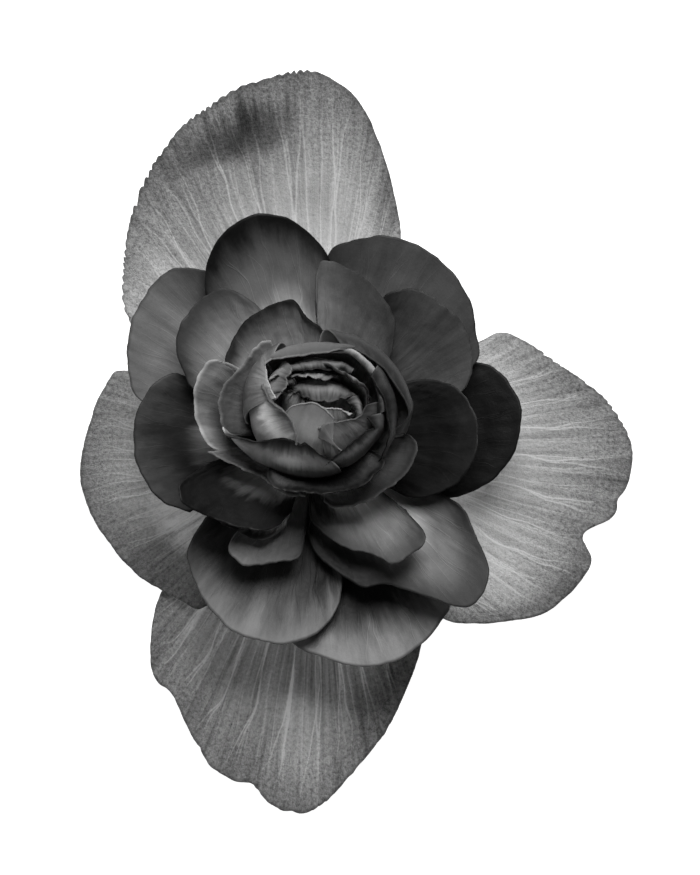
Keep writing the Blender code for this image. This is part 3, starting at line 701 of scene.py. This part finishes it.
# The heart: petals folded over a leaning bud. The dome gives the bud's top, as radius and height over its
# middle. Each petal leaves the bud's root, swells out round directions at and half, and ends in its rim:
# points seen from above, each with its height over the dome. Belly is how far its two sides swell, as a share
# of the bud's radius, and crimp how much its edge crumples.
heartBud = dict(middle=(-1.0, 5.8, 35.0), root=(-0.5, 1.9, 21.3), lean=(0.12, 0.42, 0.9), depth=0.91,
                radius=13.0, dome=((0, 11.2), (5.4, 10.8), (10, 8.8), (12, 6.9), (13, 5.6), (20, 4.0)),
                top=42.0, rootRadius=1.5, firstRise=3.5, swell=(1.12, 1.22), bellyTop=40.0, underRim=1.0,
                wobble=0.012, crimp=0.1)
# Heart tones hold painted shade as well as the petals' own colour: the near-black rims of the inner folds
# stand for the shade in the crevices between them, and the patches near the rims are painted shade and
# painted highlights.
heartPetals = {
    "heartBackMargin": dict(
        at=90, half=44, belly=(1.02, 1.0),
        rim=((7, 18.4, 0.4), (4, 17.9, 0.6), (1, 17.4, 0.6), (-2, 17, 0.6), (-5, 16.6, 0.5), (-8, 16.2, 0.4),
             (-9.8, 16.0, 0.2)),
        look=dict(tones=(0.42, 0.1, 0.058), sides=(0.76, 1.5))),
    "heartRightCup": dict(
        at=38, half=52, belly=(1.3, 1.22),
        rim=((14.2, 1.4, -2), (17, 4, -1), (17.6, 5.4, -0.6), (16.8, 8, 0), (15, 11, 0.4), (13, 13.8, 0.6),
             (10, 16.4, 0.8), (7, 18, 0.8), (4, 19.2, 0.6)),
        look=dict(tones=(0.42, 0.026, 0.013), sides=(0.4, 1.3))),
    "heartRightWall": dict(
        at=-6, half=46, belly=(1.12, 1.1),
        rim=((11.8, -4.2, -2), (12.8, -2, -1), (13.6, 1, 0), (13.4, 4, 0.5), (13, 7, 0.8), (12, 9.4, 0.9),
             (11, 11.2, 0.9), (10.2, 12.6, 0.8)),
        look=dict(tones=(0.42, 0.034, 0.003), sides=(0.4, 1.5))),
    "heartBackWall": dict(
        at=50, half=52, belly=(0.98, 0.96),
        rim=((11.6, 5, -0.4), (11.6, 8, 0), (10.8, 11, 0.4), (9.4, 13.8, 0.6), (7.4, 15.8, 0.6),
             (5, 17.2, 0.5), (1, 17.2, 0.2), (-4, 16.6, 0)),
        look=dict(tones=(0.42, 0.42, 0.0094), sides=(0.75, 1.1), edge=0.2)),
    "heartBackLeft": dict(
        at=150, half=40, belly=(1.12, 1.12),
        rim=((-9.6, 16.2, 0.4), (-11, 14.8, 0.5), (-10.6, 13, 0.6), (-10.2, 11.2, 0.7), (-8.8, 8.4, 0.6)),
        look=dict(tones=(0.42, 0.081, 0.16), sides=(0.64, 1.4))),
    "heartFrontLip": dict(
        at=240, half=52, belly=(1.26, 1.03),
        rim=((-18.6, 0.6, 1.6), (-16, 0.4, 1.2), (-13, -0.2, 1.0), (-10, 0, 0.9), (-7.4, 0.4, 0.9),
             (-5.4, 0, 0.9), (-4, -0.8, 0.8), (-3, -0.6, 0.8), (-1.6, -1.6, 0.8), (0, -3, 0.7),
             (1.6, -3.8, 0.6)),
        # patches: painted shade along the turned rim in two places, and a painted highlight on the bulge
        # below it
        look=dict(tones=(0.003, 0.18, 0.0036), sides=(1.5, 0.75),
                  patches=((0.5, 0.97, 0.2, 0.12, -0.7), (0.61, 0.76, 0.16, 0.12, 1.2),
                           (0.75, 0.95, 0.14, 0.08, -0.5)))),
    "heartLowerRight": dict(
        at=312, half=44, belly=(0.97, 0.98),
        rim=((1.6, -4.4, 0.3), (5, -1.6, 0.6), (7.6, 0.6, 0.7), (9.2, 1.8, 0.8), (10.8, 2.4, 0.9),
             (10.2, 3.4, 1.0), (9.3, 4.4, 1.0)),
        # patches: a painted highlight and painted shade near the rim
        look=dict(tones=(0.42, 0.13, 0.003), sides=(0.4, 0.63),
                  patches=((0.3, 0.9, 0.2, 0.14, 0.5), (0.6, 0.95, 0.2, 0.1, -0.5)))),
    "heartLeftWrap": dict(
        roll=dict(reach=1.0, turn=75, rows=8), at=186, half=52, belly=(1.06, 1.04),
        rim=((-11, 11, 0.9), (-9.6, 8, 1.0), (-7, 6, 1.0), (-5.4, 4, 1.0), (-4.6, 1.6, 0.8),
             (-4.6, -0.6, 0.5)),
        # edge 0.9 and the lighter patch: a painted highlight on the rolled margin and the middle of the petal
        look=dict(tones=(0.42, 0.42, 0.046), sides=(1, 1.5),
                  edge=0.9, edgeFrom=0.93, patches=((0.5, 0.86, 0.35, 0.12, 0.5),))),
    "heartFrontWrap": dict(
        at=262, half=44, belly=(0.98, 0.98),
        rim=((-6.8, 5.6, 0.2), (-5, 7, 0.4), (-2.4, 7.5, 0.5), (0, 7, 0.5), (2.2, 5, 0.4), (2.7, 4, 0.4),
             (0.6, 3, 0.35), (-0.2, 0.4, 0.3)),
        look=dict(tones=(0.42, 0.42, 0.14), sides=(1.1, 0.4), edge=0.15)),
    "heartRightWrap": dict(
        at=322, half=42, belly=(0.96, 0.94),
        rim=((-0.4, 2.4, 0), (2, 3.4, 0.1), (4, 3.8, 0.1), (6.4, 4.2, 0.1), (8, 5, 0.1), (9.2, 7, 0)),
        # the lighter patch along the rim is a painted highlight
        look=dict(tones=(0.11, 0.15, 0.041), sides=(1.5, 0.4),
                  patches=((0.42, 0.93, 0.3, 0.08, 0.6),))),
    "heartInnerRightCurl": dict(
        crimp=0.3, at=42, half=54, belly=(0.64, 0.62),
        rim=((9.2, 5.6, -1), (9.5, 7.2, -0.6), (9.6, 8.8, -0.4), (9.2, 9.9, -0.3), (8, 10.8, -0.2),
             (6, 12, -0.3), (4.6, 13, -0.4), (3, 14, -0.5), (1.4, 14.6, -0.8)),
        look=dict(tones=(0.42, 0.42, 0.003), sides=(0.4, 0.4))),
    "heartInnerLeftLobe": dict(
        crimp=0.3, at=160, half=34, belly=(0.84, 0.82),
        rim=((-5.4, 14.4, -1.4), (-6.4, 12.4, -1), (-6.8, 10.4, -0.8), (-8.8, 8.2, -0.6)),
        look=dict(tones=(0.29, 0.26, 0.058), sides=(1.3, 1.5))),
    "heartInnerBackWall": dict(
        crimp=0.3, at=104, half=56, belly=(0.78, 0.76),
        rim=((6, 13.2, -1.6), (3, 13.8, -1.5), (0, 14, -1.4), (-3, 13.9, -1.4), (-6, 13.4, -1.5),
             (-9, 12.4, -1.6)),
        look=dict(tones=(0.42, 0.42, 0.003), sides=(0.44, 1.5))),
    "heartInnerLeftCrumple": dict(
        crimp=0.3, at=168, half=40, belly=(0.66, 0.66),
        rim=((-4.4, 11.4, -2.4), (-6.2, 10.8, -2.1), (-7.6, 10.2, -2.0), (-9, 8.8, -1.8)),
        look=dict(tones=(0.42, 0.42, 0.0031), sides=(0.4, 1))),
    "heartInnerBackFold": dict(
        crimp=0.3, at=100, half=50, belly=(0.55, 0.55),
        rim=((2, 12, -2.4), (0, 12.1, -2), (-2, 12.5, -1.8), (-4, 12.6, -1.9), (-5.8, 12.8, -2.4)),
        look=dict(tones=(0.37, 0.42, 0.2), sides=(0.4, 0.4), edge=0.0)),
    "heartMiddleFold": dict(
        crimp=0.3, at=80, half=66, belly=(0.55, 0.55),
        rim=((6.2, 8.8, -2.8), (3.4, 7.9, -2.3), (1, 7.6, -2.2), (-1.6, 8.0, -2.3), (-4.6, 9.2, -2.8)),
        look=dict(tones=(0.42, 0.27, 0.03), sides=(0.8, 0.4))),
    "heartInnerLeftFold": dict(
        crimp=0.3, at=205, half=60, belly=(0.5, 0.5),
        rim=((-6.8, 9.6, -3), (-5, 9.8, -2.8), (-3.4, 9.2, -2.8), (-2.8, 8, -3)),
        look=dict(tones=(0.42, 0.42, 0.003), sides=(1.5, 1.5))),
    "heartInnerFrontLobe": dict(
        at=300, half=46, belly=(0.62, 0.6),
        rim=((0.4, 6.6, -1.4), (1.6, 6.4, -1.2), (3.2, 6.4, -1.1), (4.6, 6, -1.1), (5.8, 5, -1.2)),
        look=dict(tones=(0.34, 0.42, 0.24), sides=(1, 1.5), edge=0.0)),
    "heartSmallCurl": dict(
        at=345, half=34, belly=(0.66, 0.64),
        rim=((6, 4.2, -0.6), (6.9, 5.4, -0.5), (6.3, 6.8, -0.5), (5.2, 7.7, -0.8)),
        look=dict(tones=(0.42, 0.39, 0.003), sides=(1, 0.4))),
}


def heartAxis(z):
    middle, root = np.array(heartBud["middle"]), np.array(heartBud["root"])
    lean = np.array(heartBud["lean"])
    z = np.asarray(z, float)
    below = middle + (root - middle) * ((middle[2] - z) / (middle[2] - root[2]))[..., None]
    above = middle + lean * ((z - middle[2]) / lean[2])[..., None]
    return np.where((z < middle[2])[..., None], below, above)


def domeHeight(flat):
    # height of the bud's top over a place
    radii, heights = zip(*heartBud["dome"])
    z = np.full(flat.shape[:-1], heartBud["top"])
    for _ in range(30):
        away = (flat - heartAxis(z)[..., :2]) / (1, heartBud["depth"])
        rise = np.interp(np.linalg.norm(away, axis=-1), radii, heights)
        target = heartBud["middle"][2] + heartBud["lean"][2] * rise
        z = z + 0.5 * (target - z)
    return z


def heartSurface(spec):
    seed = spec["look"]["seed"]
    firstSwell, secondSwell = heartBud["swell"]
    crimp = spec.get("crimp", heartBud["crimp"])

    def surface(u, v):
        side = 2 * u - 1
        turn = np.radians(spec["at"] + spec["half"] * side)
        out = np.stack([np.cos(turn), heartBud["depth"] * np.sin(turn), 0 * turn], -1)
        wide = heartBud["radius"] * (spec["belly"][0] + (spec["belly"][1] - spec["belly"][0]) * u)
        wide = wide * (1 + heartBud["wobble"] * ripple(u, seed, 3))
        rimPoint = smoothPath(spec["rim"], u)
        flat = rimPoint[..., :2] + crimp * np.stack([ripple(u, seed + 5, 5), ripple(u, seed + 6, 6)], -1)
        top = domeHeight(flat) + rimPoint[..., 2] + 1.2 * crimp * ripple(u, seed + 2, 4)
        rim = truePlace(flat, top)
        low = heartBud["root"][2]
        high = np.minimum(top - heartBud["underRim"], heartBud["bellyTop"])
        root = heartAxis(np.full_like(u, low)) + out * heartBud["rootRadius"]
        first = heartAxis(np.full_like(u, low + heartBud["firstRise"])) + out * (wide * firstSwell)[..., None]
        second = heartAxis(high) + out * (wide * secondSwell)[..., None]
        t = v[..., None]
        return ((1 - t) ** 3 * root + 3 * (1 - t) ** 2 * t * first + 3 * (1 - t) * t ** 2 * second
                + t ** 3 * rim)

    return surface


heartShape = dict(thickness=0.4, rimThickness=0.3, columns=110, rows=60)
# edge above 0 lightens a band along each heart rim: a painted highlight
heartLook = dict(streaks=1.3, streakCount=14.0, blotches=0.6, flames=0.2, veins=0.2, veinCount=8.0,
                 veinBump=0.4, grain=0.16, rimGrain=0.3, edge=0.8, edgeFrom=0.97, bump=0.25, gloss=0.16,
                 glow=0.0, turn=0.8, veinHeight=0.03, wrinkleCount=14.0, wrinkleHeight=0.2, crumple=0.3)
print("heart")
for number, (name, spec) in enumerate(heartPetals.items()):
    spec["look"] = {**heartLook, "seed": 40.0 + number, **spec["look"]}
    obj = makePetal(name, heartSurface(spec), heartShape, spec["look"], spec.get("roll", rimRoll))
    dress(obj, "heart_of_folded_petals")


# The stub and receptacle: the solid's profile with fine ribs, a cut end and a coat of short hairs
stubLook = dict(around=144, rows=150, ribs=13, ribHeight=0.12, ribTwist=0.12, ribStart=1.2,
                cutRings=(0.3, 0.6, 0.9), darkRing=0.72, bevel=0.15, bevelHeight=0.3, dome=0.6, tone=0.16)


def makeStub():
    count = stubLook["around"]
    turn = np.linspace(0, math.tau, count, endpoint=False)
    circle = np.stack([np.cos(turn), np.sin(turn), 0 * turn], -1)
    heights = np.linspace(stub["profile"][0][0], stub["profile"][-1][0], stubLook["rows"])
    rings = [np.zeros((1, 3))]
    for part in stubLook["cutRings"]:
        rings.append(stalkRadius(0) * part * circle)
    for z in heights:
        ribs = np.cos(stubLook["ribs"] * turn + stubLook["ribTwist"] * z)
        ribs = stubLook["ribHeight"] * ribs * smoothStep(z / stubLook["ribStart"])
        bevel = stubLook["bevel"] * (1 - smoothStep(z / stubLook["bevelHeight"]))
        radius = stalkRadius(z) + ribs - bevel
        rings.append(np.append(axisAt(z), z) + radius[:, None] * circle)
    top = heights[-1]
    rings.append(np.append(axisAt(top), top + stubLook["dome"])[None])
    points = np.concatenate(rings)
    faces = []
    for ring in range(len(rings) - 3):
        for k in range(count):
            a = 1 + ring * count + k
            b = 1 + ring * count + (k + 1) % count
            faces.append((a, b, b + count, a + count))
    last = len(points) - 1
    for k in range(count):
        nextK = (k + 1) % count
        faces.append((0, 1 + nextK, 1 + k))
        faces.append((last, last - count + k, last - count + nextK))
    return addMesh("stalkStub", points, faces)


def stubSkin():
    skin, tree = newSkin("stalkSkin")
    place = tree.node("ShaderNodeTexCoord", None, None, "Object")
    split = tree.node("ShaderNodeSeparateXYZ", None, {"Vector": place})
    x, y, z = split, split.other("Y"), split.other("Z")
    radius = (x * x + y * y).math("SQRT") / (stub["profile"][0][1] * mm)
    cut = 1 - tree.smooth(z, 0.0, 0.04 * mm)
    ring = 1 - tree.smooth((radius - stubLook["darkRing"]).math("ABSOLUTE"), 0.03, 0.12)
    pith = tree.noise(place, detail=4.0, scale=1800.0)
    fibres = tree.noise(tree.point(x * 1400, y * 1400, z * 160), detail=3.0)
    speckles = tree.noise(place, detail=2.0, scale=900.0)
    outside = stubLook["tone"] * (0.8 + fibres * 0.5 - tree.smooth(speckles, 0.6, 0.7) * 0.3)
    inside = 0.3 + pith * 0.2 - ring * 0.16
    tone = outside + cut * (inside - outside)
    height = fibres + pith * 0.4
    bump = tree.node("ShaderNodeBump", None, {"Strength": 0.4, "Distance": 0.2 * mm, "Height": height})
    shader = tree.node("ShaderNodeBsdfPrincipled", None,
                       {"Base Color": tree.grey(tone), "Roughness": 0.45 + cut * 0.2, "Normal": bump,
                        "Specular IOR Level": 0.3})
    tree.node("ShaderNodeOutputMaterial", None, {"Surface": shader})
    return skin


# short soft hairs scattered over the stub's side, thinning out between two pairs of heights
stubHairs = dict(density=2.2e6, length=0.9, width=0.05, lean=0.5, seed=7, fadeIn=(1.4, 2.4),
                 fadeOut=(8.0, 10.0))


def hairTree():
    inputs = dict.fromkeys(("Density", "Length", "Width", "Lean"), "Float")
    group = newGroup("stubHairs", "Stub", "Hairs", {**inputs, "Seed": "Int", "Finish": "Material"})
    tree = Tree(group)
    given = tree.node("NodeGroupInput")
    place = tree.node("GeometryNodeInputPosition")
    height = tree.node("ShaderNodeSeparateXYZ", None, {"Vector": place}, "Z")
    seed = given.other("Seed")
    (low, full), (thin, high) = stubHairs["fadeIn"], stubHairs["fadeOut"]
    onSide = tree.smooth(height, low * mm, full * mm) * (1 - tree.smooth(height, thin * mm, high * mm))
    points = tree.node("GeometryNodeDistributePointsOnFaces", None,
                       {"Mesh": given, "Density": given.other("Density") * onSide, "Seed": seed})
    hair = tree.node("GeometryNodeMeshCone", None,
                     {"Vertices": 4, "Radius Top": 0.0, "Radius Bottom": given.other("Width"),
                      "Depth": given.other("Length")})
    lean = tree.node("FunctionNodeRandomValue", dict(data_type="FLOAT_VECTOR"),
                     {0: (-1.0, -1.0, -1.0), 1: (1.0, 1.0, 1.0), "Seed": seed})
    bend = tree.node("ShaderNodeVectorMath", dict(operation="SCALE"), {0: lean, "Scale": given.other("Lean")})
    aim = tree.node("ShaderNodeVectorMath", dict(operation="ADD"), {0: points.other("Normal"), 1: bend})
    turn = tree.node("FunctionNodeAlignRotationToVector", dict(axis="Z"), {"Vector": aim})
    size = tree.node("FunctionNodeRandomValue", dict(data_type="FLOAT"), {2: 0.5, 3: 1.2, "Seed": seed}, 1)
    hairs = tree.node("GeometryNodeInstanceOnPoints", None,
                      {"Points": points, "Instance": hair, "Rotation": turn, "Scale": size})
    real = tree.node("GeometryNodeRealizeInstances", None, {"Geometry": hairs})
    finish = given.other("Finish")
    dressed = tree.node("GeometryNodeSetMaterial", None, {"Geometry": real, "Material": finish})
    tree.node("NodeGroupOutput", None, {"Hairs": dressed})
    return group


def makeHairs(stalk):
    obj = bpy.data.objects.new("stalkHairs", stalk.data.copy())
    bpy.context.scene.collection.objects.link(obj)
    addTree(obj, hairTree(), {
        "Density": stubHairs["density"], "Length": stubHairs["length"] * mm, "Width": stubHairs["width"] * mm,
        "Lean": stubHairs["lean"], "Seed": stubHairs["seed"], "Finish": stalk.data.materials[0]})
    applyModifiers(obj)
    return obj


print("stalk stub")
stalk = makeStub()
stalk.data.materials.append(stubSkin())
for obj in (stalk, makeHairs(stalk)):
    dress(obj, "stalk_and_receptacle")


# The floor is a plain white light table, and the lights are soft boxes
stage = dict(size=20.0, glow=1.0, tone=0.5, world=0.05)


def makeFloor():
    half = stage["size"] / 2
    corners = [(-half, -half, 0), (half, -half, 0), (half, half, 0), (-half, half, 0)]
    mesh = bpy.data.meshes.new("floor")
    mesh.from_pydata(corners, [], [(0, 1, 2, 3)])
    floor = bpy.data.objects.new("floor", mesh)
    bpy.context.scene.collection.objects.link(floor)
    paint = bpy.data.materials.new("tableWhite")
    paint.use_nodes = True
    shader = paint.node_tree.nodes["Principled BSDF"]
    shader.inputs["Base Color"].default_value = (stage["tone"], stage["tone"], stage["tone"], 1)
    shader.inputs["Roughness"].default_value = 0.9
    shader.inputs["Emission Color"].default_value = (1, 1, 1, 1)
    shader.inputs["Emission Strength"].default_value = stage["glow"]
    mesh.materials.append(paint)


aimHeight = 0.02  # the lamps look at the middle of the bloom
lights = {
    "key": dict(power=16, size=0.55, place=(0.1, 0.62, 0.85)),
    "fill": dict(power=1.0, size=0.6, place=(-0.6, -0.3, 0.8)),
}


def makeLights():
    for name, spec in lights.items():
        data = bpy.data.lights.new(name, "AREA")
        data.energy = spec["power"]
        data.size = spec["size"]
        lamp = bpy.data.objects.new(name, data)
        x, y, z = spec["place"]
        lamp.location = spec["place"]
        lamp.rotation_euler = (math.atan2(math.hypot(x, y), z - aimHeight), 0, math.atan2(x, -y))
        bpy.context.scene.collection.objects.link(lamp)
    world = bpy.data.worlds.new("studio")
    world.use_nodes = True
    background = world.node_tree.nodes["Background"]
    background.inputs["Color"].default_value = (1, 1, 1, 1)
    background.inputs["Strength"].default_value = stage["world"]
    bpy.context.scene.world = world


def makeCamera():
    data = bpy.data.cameras.new("view")
    data.lens = camera["lens"]
    data.sensor_width = camera["sensor"]
    data.clip_start, data.clip_end = camera["clip"]
    view = bpy.data.objects.new("view", data)
    x, y = camera["over"]
    view.location = (x * mm, y * mm, camera["height"] * mm)
    bpy.context.scene.collection.objects.link(view)
    bpy.context.scene.camera = view
    bpy.context.scene.view_settings.view_transform = "Standard"


print("floor, lights and camera")
makeFloor()
makeLights()
makeCamera()
